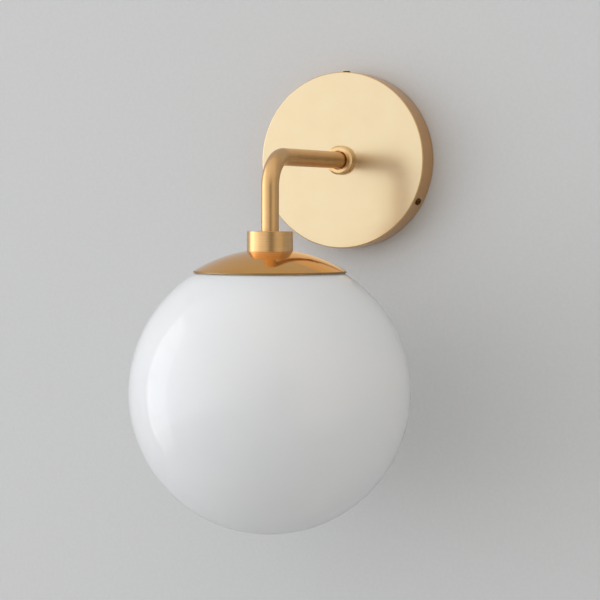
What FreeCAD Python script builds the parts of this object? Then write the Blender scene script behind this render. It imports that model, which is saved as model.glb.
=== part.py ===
import FreeCAD, Part
import math
import os

# Globe wall sconce: a round brass backplate on a steel wall bracket, a bent brass arm, a turned cup
# and a spun dish over an opal glass ball. Millimetres, +Z up. The wall is the plane Y = 0, the light
# stands out along -Y, and the origin is the centre of the backplate on the wall.

# ---- driving dimensions ----------------------------------------------------------------------

# backplate
canopy_radius = 67.0
canopy_depth = 21.0
canopy_wall = 1.5
canopy_edge_round = 0.9
set_screw_radius = 2.0
set_screw_head_radius = 2.7
set_screw_head_height = 1.6
set_screw_head_round = 0.3
set_screw_proud = 1.2
set_screw_from_front = 10.0
set_screw_socket_radius = 1.3
set_screw_socket_depth = 1.4
set_screw_angles = (90.0, -28.0, 208.0)

# wall bracket
bracket_thickness = 1.5
bracket_clearance = 0.7
bracket_ear_width = 16.0
bracket_ear_depth = 16.0
bracket_ear_relief = 2.0
cable_hole_radius = 17.0
slot_spacing = 65.0
slot_radius = 2.25
slot_length = 14.0

# arm
tube_radius = 6.35
tube_bore_radius = 4.4
arm_bend_radius = 22.0
arm_reach = 144.5
collar_radius = 11.0
collar_projection = 5.4
collar_recess_radius = 7.1
collar_recess_depth = 3.2
collar_chamfer = 1.3

# threaded nipples with their nuts and washers
nipple_radius = 5.0
nipple_bore_radius = 3.8
nipple_in_tube = 12.0
hole_clearance = 0.2
washer_radius = 8.5
washer_thickness = 0.8
nut_across_flats = 14.0
nut_thickness = 4.0
nut_bevel_share = 0.55
washer_split = 1.0
nipple_past_nut = 1.4
nipple_in_holder = 5.0

# cup, with its place below the arm's axis
cup_radius = 16.4
cup_height = 14.1
cup_top_drop = 52.9
cup_top_wall = 2.0
cup_side_wall = 1.5
cup_edge_round = 0.35

# dish
dish_radius = 54.1
dish_land_radius = 17.0
dish_over_glass = 0.8
dish_wall = 1.0
dish_edge_round = 0.25

# glass ball
globe_radius = 100.0
globe_wall = 3.0
globe_hole_radius = 40.0
globe_hole_round = 1.2

# soft ring between dish and glass
gasket_from_hole = 1.5
gasket_width = 5.0
gasket_glue_line = 0.15
gasket_clearance = 0.3

# spring holder inside the hole of the ball
carrier_radius = 16.5
carrier_thickness = 1.2
spring_count = 3
spring_first_angle = 90.0
spring_thickness = 0.5
spring_width = 9.0
spring_root_radius = 10.2
spring_under_dish = 1.0
spring_to_glass = 0.3
spring_grip = 3.0
spring_tail_drop = 14.0
spring_tail_inside_hole = 4.0
spring_past_carrier = 1.0
spring_to_hole = 3.4
spring_shoulder_lean = 0.6
rivet_radius = 1.5
rivet_head_radius = 2.4
rivet_head_height = 0.8
rivet_head_round = 0.65
rivet_circle_radius = 13.4

# lampholder
holder_radius = 19.5
holder_wall = 2.0
holder_boss_radius = 9.0
holder_cap_height = 20.0
holder_boss_depth = 5.5
holder_shoulder_height = 5.0
holder_cap_crown = 2.5
holder_dome_out = 0.72
holder_dome_up = 0.68
holder_skirt_height = 34.0
insert_above_rim = 1.0
holder_skirt_end_radius = 18.2
holder_mouth_radius = 14.4
insert_thickness = 6.0
insert_clearance = 0.1
insert_hole_radius = 2.0
shell_radius = 13.4
shell_wall = 0.4
shell_height = 22.0
contact_width = 5.0
contact_length = 15.0
contact_thickness = 0.5
contact_rise = 2.6
contact_foot = 3.5
contact_flat = 3.0
contact_tail_lift = 1.0
terminal_offset = 8.5
terminal_radius = 3.0
terminal_height = 5.0
terminal_bore_floor = 1.5
terminal_screw_height = 3.0
terminal_screw_sunk = 0.6
terminal_screw_radius = 1.1
terminal_screw_length = 2.6

# bulb
bulb_radius = 30.0
bulb_length = 105.0
bulb_contact_gap = 0.3
bulb_contact_radius = 4.6
bulb_contact_height = 1.3
bulb_contact_round = 0.5
bulb_insulator_height = 2.8
bulb_insulator_radius = 10.6
bulb_insulator_step = 0.8
bulb_cap_radius = 13.1
bulb_cap_root_radius = 12.3
bulb_cap_height = 21.0
bulb_cap_shoulder = 2.0
bulb_thread_pitch = 3.6
bulb_thread_turns = 4
bulb_cap_wall = 0.3
bulb_housing_radius = 28.2
bulb_housing_height = 36.0
bulb_housing_wall = 1.6
bulb_rim_width = 4.7
bulb_neck_radius = 13.2
bulb_neck_height = 3.0
bulb_spigot_height = 6.0
bulb_spigot_clearance = 0.1
bulb_flare_middle = 0.34
bulb_diffuser_wall = 1.2
bulb_board_thickness = 1.6
bulb_board_clearance = 0.3
bulb_led_count = 12
bulb_led_circle_radius = 16.0
bulb_led_size = 3.0
bulb_led_height = 0.8

# conductors and their connections
core_radius = 1.0
core_offset = 1.3
core_clearance = 0.1
core_canopy_bend = 6.0
core_small_bend = 5.0
core_post_bend = 2.8
core_earth_bend = 5.8
core_above_block = 7.0
block_pitch = 9.0
block_poles = 3
block_end_wall = 2.5
block_height = 18.0
block_corner_round = 1.0
block_depth = 11.5
block_above_bracket_edge = 10.8
block_entry_depth = 6.0
block_entry_from_bracket = 4.0
clamp_screw_radius = 1.7
clamp_screw_length = 4.5
clamp_screw_inset = 4.2
clamp_screw_sunk = 0.8
slot_cut_width = 0.7
slot_cut_depth = 0.7
block_screw_radius = 1.25
block_screw_head_radius = 2.2
block_screw_head_height = 1.6
tag_thickness = 0.8
tag_radius = 8.0
tag_tail_width = 4.0
tag_tail_length = 12.5
tag_barrel_radius = 1.7
tag_barrel_length = 6.0
tag_barrel_wall = 0.6
tag_barrel_overlap = 0.5
tag_barrel_floor = 1.5

# cutting shapes, and how close two places must be to count as one
cut_overrun = 1.0
tap_past_nipple = 1.0
same_place = 0.01

# ---- levels worked out from them ---------------------------------------------------------------

canopy_inner_radius = canopy_radius - canopy_wall
canopy_inner_depth = canopy_depth - canopy_wall
bracket_radius = canopy_inner_radius - bracket_clearance
block_top_drop = bracket_radius - block_height - block_above_bracket_edge
hole_radius = nipple_radius + hole_clearance
cup_top = -cup_top_drop
cup_bottom = cup_top - cup_height
dish_under = cup_bottom - dish_wall
dish_inner_dome = globe_radius + dish_over_glass
dish_dome_radius = dish_inner_dome + dish_wall
globe_centre = cup_bottom - math.sqrt(dish_dome_radius ** 2 - dish_land_radius ** 2)
gasket_inner_radius = globe_hole_radius + gasket_from_hole
gasket_outer_radius = gasket_inner_radius + gasket_width
carrier_under = dish_under - carrier_thickness
washer_under = carrier_under - washer_thickness
lower_nut_under = washer_under - nut_thickness
lower_nipple_end = lower_nut_under - nipple_in_holder
holder_rim = lower_nut_under - holder_cap_height
holder_mouth = holder_rim - holder_skirt_height
insert_top = holder_rim + insert_above_rim
insert_under = insert_top - insert_thickness
contact_tip = insert_under - contact_thickness - contact_rise
bulb_top = contact_tip - bulb_contact_gap
bulb_cap_top = bulb_top - bulb_contact_height - bulb_insulator_height
bulb_cap_under = bulb_cap_top - bulb_cap_height
bulb_housing_under = bulb_cap_under - bulb_housing_height
bulb_centre = bulb_top - bulb_length + bulb_radius


# ---- small tools -------------------------------------------------------------------------------

def at_wall(radius, depth):
    """A point of a section about the backplate's axis, its depth counted from the wall."""
    return FreeCAD.Vector(radius, -depth, 0)


def at_drop(radius, height):
    """A point of a section about the vertical axis of the cup, the dish and the ball."""
    return FreeCAD.Vector(radius, -arm_reach, height)


def face_of(outline, place):
    """A flat face. An entry is a corner (a, b), or an arc given as (middle point, end point). A line
    closes the outline, unless its last entry is back at its first."""
    here = outline[0]
    edges = []
    for entry in outline[1:]:
        if isinstance(entry[0], tuple):
            middle, end = entry
            edges.append(Part.Arc(place(*here), place(*middle), place(*end)).toShape())
        else:
            end = entry
            edges.append(Part.makeLine(place(*here), place(*end)))
        here = end
    if here != outline[0]:
        edges.append(Part.makeLine(place(*here), place(*outline[0])))
    return Part.Face(Part.Wire(edges))


def turned(outline, place):
    """A part turned on a lathe, about the backplate's axis or about the vertical one."""
    direction = FreeCAD.Vector(0, 1, 0) if place is at_wall else FreeCAD.Vector(0, 0, 1)
    solid = face_of(outline, place).revolve(place(0, 0), direction, 360)
    return solid if solid.Volume > 0 else solid.reversed()


def quarter(corner, round_radius, start_side, end_side):
    """The arc entry that rounds a right-angled corner, coming from start_side and leaving by end_side."""
    a, b = corner
    centre = (a + (start_side[0] + end_side[0]) * round_radius,
              b + (start_side[1] + end_side[1]) * round_radius)
    reach = round_radius / math.sqrt(2)
    middle = (centre[0] - (start_side[0] + end_side[0]) * reach,
              centre[1] - (start_side[1] + end_side[1]) * reach)
    return middle, (a + end_side[0] * round_radius, b + end_side[1] * round_radius)


def on_ball(ball_radius, centre, radius):
    """Height of the upper half of a ball's surface at this distance from the vertical axis."""
    return centre + math.sqrt(ball_radius ** 2 - radius ** 2)


def rod(radius, start, direction, length):
    return Part.makeCylinder(radius, length, start, direction)


def round_edges(solid):
    """The circular edges of a solid. A ball's pole is an edge with no curve, so it is passed over."""
    edges = [edge for edge in solid.Edges if not edge.Degenerated]
    return [edge for edge in edges if isinstance(edge.Curve, Part.Circle)]


def ring_about_drop(outer, inner, top, thickness):
    return turned([(inner, top), (outer, top), (outer, top - thickness), (inner, top - thickness)], at_drop)


def hexagon_prism(corner_radius, centre, direction, across, length):
    """A hexagon bar from centre along direction, with one corner towards across."""
    other = direction.cross(across)
    corner_count = 6
    points = []
    for corner in range(corner_count):
        angle = 2 * math.pi * corner / corner_count
        points.append(centre + across * (corner_radius * math.cos(angle))
                      + other * (corner_radius * math.sin(angle)))
    return Part.Face(Part.makePolygon(points + points[:1])).extrude(direction * length)


def hexagon_nut(centre, direction):
    """A lock nut for the nipples, from centre along direction, its corners bevelled on both faces."""
    corner_radius = nut_across_flats / math.sqrt(3)
    prism = hexagon_prism(corner_radius, centre, direction, FreeCAD.Vector(1, 0, 0), nut_thickness)
    bevel = corner_radius - nut_across_flats / 2
    core = rod(corner_radius, centre, direction, nut_thickness)
    core = core.makeChamfer(bevel * nut_bevel_share, bevel, round_edges(core))
    return prism.common(core).cut(rod(nipple_radius, centre, direction, nut_thickness))


def bent_path(points, bend_radius):
    """Straight runs through the points, joined at each inner point by an arc tangent to both."""
    edges = []
    here = points[0]
    for number in range(1, len(points) - 1):
        corner = points[number]
        back = (points[number - 1] - corner).normalize()
        ahead = (points[number + 1] - corner).normalize()
        half = back.getAngle(ahead) / 2
        radius = bend_radius[number - 1]
        tangent = radius / math.tan(half)
        middle_way = (back + ahead).normalize()
        start = corner + back * tangent
        end = corner + ahead * tangent
        middle = corner + middle_way * (radius / math.sin(half) - radius)
        edges.append(Part.makeLine(here, start))
        edges.append(Part.Arc(start, middle, end).toShape())
        here = end
    edges.append(Part.makeLine(here, points[-1]))
    return Part.Wire(edges)


def tube_along(path, radius):
    """A round bar swept along a path."""
    first = path.OrderedEdges[0]
    start = path.OrderedVertexes[0].Point
    direction = first.tangentAt(first.FirstParameter)
    section = Part.Wire([Part.makeCircle(radius, start, direction)])
    return path.makePipeShell([section], True, False)


def strip(points, thickness, width):
    """A sheet strip bent at the points of an (radius, height) line, before it is turned into place."""
    normals = []
    for (a, b), (c, d) in zip(points, points[1:]):
        length = math.hypot(c - a, d - b)
        normals.append(((b - d) / length, (c - a) / length))
    sides = []
    for sign in (1, -1):
        side = []
        for number, (a, b) in enumerate(points):
            before = normals[max(number - 1, 0)]
            after = normals[min(number, len(normals) - 1)]
            share = 1 + before[0] * after[0] + before[1] * after[1]
            move = sign * thickness / 2 / share
            side.append((a + (before[0] + after[0]) * move, b + (before[1] + after[1]) * move))
        sides.append(side)
    outline = sides[0] + sides[1][::-1]
    flat = face_of(outline, lambda a, b: FreeCAD.Vector(a, -width / 2, b))
    return flat.extrude(FreeCAD.Vector(0, width, 0))


def set_round_drop(shape, angle):
    """A copy of a part made about the world's Z axis, turned by angle and carried to the vertical axis."""
    moved = shape.copy()
    moved.rotate(FreeCAD.Vector(0, 0, 0), FreeCAD.Vector(0, 0, 1), angle)
    moved.translate(FreeCAD.Vector(0, -arm_reach, 0))
    return moved


def spring_angles():
    return [spring_first_angle + 360 / spring_count * number for number in range(spring_count)]


# ---- wall bracket and its terminal block ---------------------------------------------------------

def ear(angle):
    """One ear bent forward from the bracket's edge, where a set screw bites."""
    outer = bracket_radius
    blade = Part.makeBox(bracket_thickness, bracket_ear_depth, bracket_ear_width,
                         FreeCAD.Vector(outer - bracket_thickness, -bracket_ear_depth,
                                        -bracket_ear_width / 2))
    blade.rotate(FreeCAD.Vector(0, 0, 0), FreeCAD.Vector(0, -1, 0), angle)
    return blade


def block_screw_places():
    """The two screws between the poles that hold the terminal block."""
    height = -block_top_drop - block_height / 2
    return [FreeCAD.Vector(side * block_pitch / 2, 0, height) for side in (-1, 1)]


def wall_bracket():
    """A round steel plate with a cable hole, two slots and three ears bent forward at its edge."""
    forward = FreeCAD.Vector(0, -1, 0)
    centre = FreeCAD.Vector(0, 0, 0)
    plate = rod(bracket_radius, centre, forward, bracket_thickness)
    notch_depth = bracket_thickness * 2
    notch_width = bracket_ear_width + bracket_ear_relief * 2
    for angle in set_screw_angles:
        notch = Part.makeBox(notch_depth, bracket_thickness, notch_width,
                             FreeCAD.Vector(bracket_radius - notch_depth, -bracket_thickness,
                                            -notch_width / 2))
        root = Part.makeBox(notch_depth * 2, bracket_thickness, bracket_ear_width,
                            FreeCAD.Vector(bracket_radius - notch_depth * 2, -bracket_thickness,
                                           -bracket_ear_width / 2))
        for shape in (notch, root):
            shape.rotate(centre, forward, angle)
        plate = plate.cut(notch).fuse([root, ear(angle)])
    tools = [rod(cable_hole_radius, centre, forward, bracket_thickness)]
    for side in (-1, 1):
        half = slot_length / 2 - slot_radius
        middle = side * slot_spacing / 2
        tools.append(Part.makeBox(half * 2, bracket_thickness, slot_radius * 2,
                                  FreeCAD.Vector(middle - half, -bracket_thickness, -slot_radius)))
        for end in (-half, half):
            tools.append(rod(slot_radius, FreeCAD.Vector(middle + end, 0, 0), forward, bracket_thickness))
    for place in block_screw_places():
        tools.append(rod(block_screw_radius, place, forward, bracket_thickness))
    return plate.cut(tools).removeSplitter()


def pole_offsets():
    return [block_pitch * (number - (block_poles - 1) / 2) for number in range(block_poles)]


def terminal_block():
    width = block_pitch * (block_poles - 1) + 2 * (block_pitch / 2 + block_end_wall)
    back = bracket_thickness
    body = Part.makeBox(width, block_depth, block_height,
                        FreeCAD.Vector(-width / 2, -back - block_depth, -block_top_drop - block_height))
    upright = [edge for edge in body.Edges
               if abs(edge.tangentAt(edge.FirstParameter).z) > 1 - same_place]
    body = body.makeFillet(block_corner_round, upright)
    down = FreeCAD.Vector(0, 0, -1)
    forward = FreeCAD.Vector(0, -1, 0)
    tools = []
    entry_radius = core_radius + core_clearance
    for offset in pole_offsets():
        entry = -back - block_entry_from_bracket
        top = FreeCAD.Vector(offset, entry, -block_top_drop)
        bottom = FreeCAD.Vector(offset, entry, -block_top_drop - block_height)
        tools.append(rod(entry_radius, top, down, block_entry_depth))
        tools.append(rod(entry_radius, bottom, down * -1, block_entry_depth))
        for place in clamp_screw_places(offset):
            depth = clamp_screw_length + clamp_screw_sunk
            tools.append(rod(clamp_screw_radius, place, forward * -1, depth))
    for place in block_screw_places():
        seat = place + forward * back
        tools.append(rod(block_screw_radius, seat, forward, block_depth))
        head = seat + forward * (block_depth - block_screw_head_height)
        tools.append(rod(block_screw_head_radius, head, forward, block_screw_head_height))
    return body.cut(tools)


def clamp_screw_places(offset):
    """Mouths of the two clamp-screw holes of one pole, on the block's front."""
    front = -bracket_thickness - block_depth
    upper = -block_top_drop - clamp_screw_inset
    lower = -block_top_drop - block_height + clamp_screw_inset
    return [FreeCAD.Vector(offset, front, height) for height in (upper, lower)]


def slotted_screw(place, direction, radius, length):
    """A slotted screw from place along direction, its slot at the start."""
    body = rod(radius, place, direction, length)
    across = FreeCAD.Vector(1, 0, 0)
    other = direction.cross(across)
    reach = radius + cut_overrun
    corner = place - across * reach - other * (slot_cut_width / 2)
    points = [corner, corner + across * (2 * reach),
              corner + across * (2 * reach) + other * slot_cut_width,
              corner + other * slot_cut_width, corner]
    groove = Part.Face(Part.makePolygon(points)).extrude(direction * slot_cut_depth)
    return body.cut(groove)


def terminal_clamp_screws():
    back = FreeCAD.Vector(0, 1, 0)
    screws = []
    for offset in pole_offsets():
        for place in clamp_screw_places(offset):
            screws.append(slotted_screw(place + back * clamp_screw_sunk, back, clamp_screw_radius,
                                        clamp_screw_length))
    return Part.makeCompound(screws)


def terminal_block_screws():
    back = FreeCAD.Vector(0, 1, 0)
    screws = []
    for place in block_screw_places():
        front = place - back * (bracket_thickness + block_depth)
        head = slotted_screw(front, back, block_screw_head_radius, block_screw_head_height)
        shank_start = front + back * block_screw_head_height
        shank_length = block_depth + bracket_thickness - block_screw_head_height
        screws.append(head.fuse(rod(block_screw_radius, shank_start, back, shank_length)).removeSplitter())
    return Part.makeCompound(screws)


# ---- backplate ----------------------------------------------------------------------------------

def set_screw_places():
    """Centre of each set screw on the backplate's axis plane, with the way it points outwards."""
    places = []
    for angle in set_screw_angles:
        outward = FreeCAD.Vector(math.cos(math.radians(angle)), 0, math.sin(math.radians(angle)))
        places.append((FreeCAD.Vector(0, set_screw_from_front - canopy_depth, 0), outward))
    return places


def canopy():
    outline = [(hole_radius, canopy_inner_depth), (hole_radius, canopy_depth),
               (canopy_radius - canopy_edge_round, canopy_depth),
               quarter((canopy_radius, canopy_depth), canopy_edge_round, (-1, 0), (0, -1)),
               (canopy_radius, 0), (canopy_inner_radius, 0), (canopy_inner_radius, canopy_inner_depth)]
    cover = turned(outline, at_wall)
    tools = []
    for centre, outward in set_screw_places():
        tools.append(rod(set_screw_radius, centre, outward, canopy_radius))
        tools.append(rod(set_screw_head_radius, centre + outward * set_screw_seat(), outward,
                         set_screw_head_height))
    return cover.cut(tools)


def set_screw_seat():
    """Distance from the backplate's axis to the underside of a set screw's low head."""
    return canopy_radius + set_screw_proud - set_screw_head_height


def canopy_set_screws():
    """Low-headed socket screws through the rim, their tips on the ears of the wall bracket."""
    screws = []
    for centre, outward in set_screw_places():
        tip = centre + outward * bracket_radius
        seat = centre + outward * set_screw_seat()
        top = seat + outward * set_screw_head_height
        shank = rod(set_screw_radius, tip, outward, set_screw_seat() - bracket_radius)
        head = rod(set_screw_head_radius, seat, outward, set_screw_head_height)
        crown = [edge for edge in round_edges(head) if edge.Curve.Center.distanceToPoint(top) < same_place]
        head = head.makeFillet(set_screw_head_round, crown)
        floor = top - outward * set_screw_socket_depth
        socket = hexagon_prism(set_screw_socket_radius, floor, outward, FreeCAD.Vector(0, 1, 0),
                               set_screw_socket_depth)
        screws.append(shank.fuse(head).cut(socket).removeSplitter())
    return Part.makeCompound(screws)


# ---- arm -----------------------------------------------------------------------------------------

def arm_collar():
    front = canopy_depth + collar_projection
    seat = front - collar_recess_depth
    bore = tube_radius
    outline = [(collar_recess_radius, front), (collar_radius - collar_chamfer, front),
               (collar_radius, front - collar_chamfer), (collar_radius, canopy_depth),
               (bore, canopy_depth), (bore, seat), (collar_recess_radius, seat)]
    return turned(outline, at_wall)


def arm_path():
    start = FreeCAD.Vector(0, -canopy_depth, 0)
    corner = FreeCAD.Vector(0, -arm_reach, 0)
    end = FreeCAD.Vector(0, -arm_reach, cup_top)
    return bent_path([start, corner, end], [arm_bend_radius])


def arm_tube():
    path = arm_path()
    outside = tube_along(path, tube_radius)
    inside = tube_along(path, tube_bore_radius)
    canopy_tap = rod(nipple_radius, FreeCAD.Vector(0, -canopy_depth, 0), FreeCAD.Vector(0, -1, 0),
                     nipple_in_tube + tap_past_nipple)
    cup_tap = rod(nipple_radius, FreeCAD.Vector(0, -arm_reach, cup_top), FreeCAD.Vector(0, 0, 1),
                  nipple_in_tube + tap_past_nipple)
    return outside.cut([inside, canopy_tap, cup_tap])


def canopy_nipple():
    stack = canopy_wall + tag_thickness + washer_thickness + nut_thickness + nipple_past_nut
    inner_end = canopy_depth - stack
    outer_end = canopy_depth + nipple_in_tube
    return turned([(nipple_bore_radius, inner_end), (nipple_radius, inner_end),
                   (nipple_radius, outer_end), (nipple_bore_radius, outer_end)], at_wall)


def ring_at_wall(outer, inner, front, thickness):
    return turned([(inner, front), (outer, front), (outer, front - thickness), (inner, front - thickness)],
                  at_wall)


def earth_tag():
    """A ring tag on the nipple, its tail pointing down to a crimped barrel."""
    front = canopy_inner_depth
    ring = ring_at_wall(tag_radius, nipple_radius, front, tag_thickness)
    tail_start = (nipple_radius + tag_radius) / 2
    tail = Part.makeBox(tag_tail_width, tag_thickness, tag_tail_length - tail_start,
                        FreeCAD.Vector(-tag_tail_width / 2, -front, -tag_tail_length))
    back = -front + tag_barrel_radius
    down = FreeCAD.Vector(0, 0, -1)
    top = FreeCAD.Vector(0, back, tag_barrel_overlap - tag_tail_length)
    barrel = rod(tag_barrel_radius, top, down, tag_barrel_length)
    bore = rod(tag_barrel_radius - tag_barrel_wall, top + down * tag_barrel_floor, down, tag_barrel_length)
    return ring.fuse([tail, barrel]).cut(bore).removeSplitter()


def canopy_lock_washer():
    front = canopy_inner_depth - tag_thickness
    washer = ring_at_wall(washer_radius, nipple_radius, front, washer_thickness)
    split = Part.makeBox(washer_radius, washer_thickness, washer_split,
                         FreeCAD.Vector(0, -front, -washer_split / 2))
    return washer.cut(split)


def canopy_lock_nut():
    front = canopy_inner_depth - tag_thickness - washer_thickness
    return hexagon_nut(FreeCAD.Vector(0, -front, 0), FreeCAD.Vector(0, 1, 0))


# ---- cup and dish --------------------------------------------------------------------------------

def socket_cup():
    outline = [(hole_radius, cup_top), (cup_radius - cup_edge_round, cup_top),
               quarter((cup_radius, cup_top), cup_edge_round, (-1, 0), (0, -1)),
               (cup_radius, cup_bottom), (cup_radius - cup_side_wall, cup_bottom),
               (cup_radius - cup_side_wall, cup_top - cup_top_wall),
               (hole_radius, cup_top - cup_top_wall)]
    return turned(outline, at_drop)


def cup_nut():
    return hexagon_nut(FreeCAD.Vector(0, -arm_reach, cup_top - cup_top_wall), FreeCAD.Vector(0, 0, -1))


def socket_nipple():
    top = cup_top + nipple_in_tube
    return turned([(nipple_bore_radius, top), (nipple_radius, top), (nipple_radius, lower_nipple_end),
                   (nipple_bore_radius, lower_nipple_end)], at_drop)


def globe_dish():
    """A spun dish that follows the ball at an even distance: flat under the cup, trimmed to a cylinder
    at its rim."""
    under_start = math.sqrt(dish_inner_dome ** 2 - (dish_under - globe_centre) ** 2)
    mean = (dish_land_radius + dish_radius) / 2
    outline = [(hole_radius, cup_bottom), (dish_land_radius, cup_bottom),
               ((mean, on_ball(dish_dome_radius, globe_centre, mean)),
                (dish_radius, on_ball(dish_dome_radius, globe_centre, dish_radius))),
               (dish_radius, on_ball(dish_inner_dome, globe_centre, dish_radius)),
               ((mean, on_ball(dish_inner_dome, globe_centre, mean)), (under_start, dish_under)),
               (hole_radius, dish_under)]
    dish = turned(outline, at_drop)
    rim = [edge for edge in round_edges(dish) if abs(edge.Curve.Radius - dish_radius) < same_place]
    return dish.makeFillet(dish_edge_round, rim)


def dish_gasket():
    """A soft ring stuck under the dish, just clear of the glass."""
    under = dish_inner_dome - gasket_glue_line
    over = globe_radius + gasket_clearance
    mean = (gasket_inner_radius + gasket_outer_radius) / 2
    outline = [(gasket_inner_radius, on_ball(under, globe_centre, gasket_inner_radius)),
               ((mean, on_ball(under, globe_centre, mean)),
                (gasket_outer_radius, on_ball(under, globe_centre, gasket_outer_radius))),
               (gasket_outer_radius, on_ball(over, globe_centre, gasket_outer_radius)),
               ((mean, on_ball(over, globe_centre, mean)),
                (gasket_inner_radius, on_ball(over, globe_centre, gasket_inner_radius)))]
    return turned(outline, at_drop)


# ---- glass ball and the springs that hold it -----------------------------------------------------

def globe():
    """A blown ball with one round hole at the top, its edge fire-polished."""
    inner = globe_radius - globe_wall
    outline = [(globe_hole_radius, on_ball(globe_radius, globe_centre, globe_hole_radius)),
               ((globe_radius, globe_centre), (0, globe_centre - globe_radius)),
               (0, globe_centre - inner),
               ((inner, globe_centre),
                (globe_hole_radius, on_ball(inner, globe_centre, globe_hole_radius)))]
    ball = turned(outline, at_drop)
    mouth = [edge for edge in round_edges(ball) if abs(edge.Curve.Radius - globe_hole_radius) < same_place]
    return ball.makeFillet(globe_hole_round, mouth)


def clip_carrier():
    disc = ring_about_drop(carrier_radius, nipple_radius, dish_under, carrier_thickness)
    holes = [rod(rivet_radius, place, FreeCAD.Vector(0, 0, -1), carrier_thickness)
             for place in rivet_places()]
    return disc.cut(holes)


def rivet_places():
    places = []
    for angle in spring_angles():
        turn = math.radians(angle)
        places.append(FreeCAD.Vector(rivet_circle_radius * math.cos(turn),
                                     rivet_circle_radius * math.sin(turn) - arm_reach, dish_under))
    return places


def spring_line():
    """Middle line of one leaf: root under the carrier, out below the dish, down through the hole,
    out again under the glass, and back in as a tail that guides the ball on."""
    half = spring_thickness / 2
    root = carrier_under - half
    leave = carrier_radius + spring_past_carrier
    neck = globe_hole_radius - spring_to_hole
    shoulder = on_ball(dish_inner_dome, globe_centre, neck) - spring_under_dish - half
    edge = on_ball(globe_radius - globe_wall, globe_centre, globe_hole_radius)
    reach = spring_to_glass + half
    slope = math.sqrt(2)
    throat = edge + (globe_hole_radius - neck) - reach * slope
    grip_out = globe_hole_radius + spring_grip
    grip_height = throat - (grip_out - neck)
    tail = globe_hole_radius - spring_tail_inside_hole
    return [(spring_root_radius, root), (leave, root), (neck - spring_shoulder_lean, shoulder),
            (neck, throat), (grip_out, grip_height), (tail, grip_height - spring_tail_drop)]


def globe_clip_springs():
    leaf = strip(spring_line(), spring_thickness, spring_width)
    hole = rod(rivet_radius, FreeCAD.Vector(rivet_circle_radius, 0, carrier_under + cut_overrun),
               FreeCAD.Vector(0, 0, -1), spring_thickness + 2 * cut_overrun)
    leaf = leaf.cut(hole)
    return Part.makeCompound([set_round_drop(leaf, angle) for angle in spring_angles()])


def clip_rivets():
    down = FreeCAD.Vector(0, 0, -1)
    rivets = []
    for place in rivet_places():
        grip = carrier_thickness + spring_thickness
        shank = rod(rivet_radius, place, down, grip)
        head = rod(rivet_head_radius, place + down * grip, down, rivet_head_height)
        end = place + down * (grip + rivet_head_height)
        rim = [edge for edge in round_edges(head) if edge.Curve.Center.distanceToPoint(end) < same_place]
        head = head.makeFillet(rivet_head_round, rim)
        rivets.append(shank.fuse(head).removeSplitter())
    return Part.makeCompound(rivets)


def socket_lock_washer():
    washer = ring_about_drop(washer_radius, nipple_radius, carrier_under, washer_thickness)
    split = Part.makeBox(washer_radius, washer_split, washer_thickness,
                         FreeCAD.Vector(0, -arm_reach - washer_split / 2, washer_under))
    return washer.cut(split)


def socket_lock_nut():
    return hexagon_nut(FreeCAD.Vector(0, -arm_reach, washer_under), FreeCAD.Vector(0, 0, -1))


# ---- lampholder ----------------------------------------------------------------------------------

def lampholder_cap():
    """The moulded cap screwed on the nipple: a boss, a domed shoulder and a short straight skirt."""
    top = lower_nut_under
    shoulder = holder_rim + holder_shoulder_height
    inner = holder_radius - holder_wall
    inner_crown = top - holder_boss_depth
    middle = (holder_boss_radius + (holder_radius - holder_boss_radius) * holder_dome_out,
              shoulder + (top - holder_cap_crown - shoulder) * holder_dome_up)
    outline = [(nipple_radius, top), (holder_boss_radius, top), (holder_boss_radius, top - holder_cap_crown),
               (middle, (holder_radius, shoulder)), (holder_radius, holder_rim), (inner, holder_rim),
               (inner, shoulder - holder_wall / 2), (holder_boss_radius, inner_crown),
               (nipple_radius, inner_crown)]
    return turned(outline, at_drop)


def lampholder_insert():
    """The porcelain disc that carries the contacts, with a small hole through its middle."""
    return ring_about_drop(holder_radius - holder_wall - insert_clearance, insert_hole_radius, insert_top,
                           insert_thickness)


def lampholder_skirt():
    """The turned-on skirt: thin above its ledge, thick below it, down to the mouth for the bulb."""
    inner = holder_radius - holder_wall
    shell_outside = shell_radius + shell_wall
    shell_end = insert_under - shell_height
    outline = [(inner, holder_rim), (holder_radius, holder_rim), (holder_radius, insert_under),
               (holder_skirt_end_radius, holder_mouth), (holder_mouth_radius, holder_mouth),
               (holder_mouth_radius, shell_end), (shell_outside, shell_end),
               (shell_outside, insert_under), (inner, insert_under)]
    return turned(outline, at_drop)


def lampholder_screw_shell():
    return ring_about_drop(shell_radius + shell_wall, shell_radius, insert_under, shell_height)


def lampholder_contact():
    """A bowed tongue under the insert that the bulb's centre contact meets."""
    half = contact_length / 2
    level = insert_under - contact_thickness / 2
    low = level - contact_rise
    flat = contact_flat / 2
    line = [(-half, level), (contact_foot - half, level), (-flat, low), (flat, low),
            (half - contact_foot, low + contact_tail_lift)]
    return set_round_drop(strip(line, contact_thickness, contact_width), 0)


def lampholder_terminals():
    """Two brass posts on the insert, each with a blind bore for a core and a clamp screw."""
    posts = []
    for side in (-1, 1):
        foot = FreeCAD.Vector(side * terminal_offset, -arm_reach, insert_top)
        up = FreeCAD.Vector(0, 0, 1)
        post = rod(terminal_radius, foot, up, terminal_height)
        bore = rod(core_radius + core_clearance, foot + up * terminal_bore_floor, up, terminal_height)
        out = FreeCAD.Vector(0, -1, 0)
        head = foot + up * terminal_screw_height + out * (terminal_radius - terminal_screw_sunk)
        screw = rod(terminal_screw_radius, head, out, terminal_screw_length)
        posts.append(post.fuse(screw).cut(bore))
    return Part.makeCompound(posts)


# ---- bulb ----------------------------------------------------------------------------------------

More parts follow.
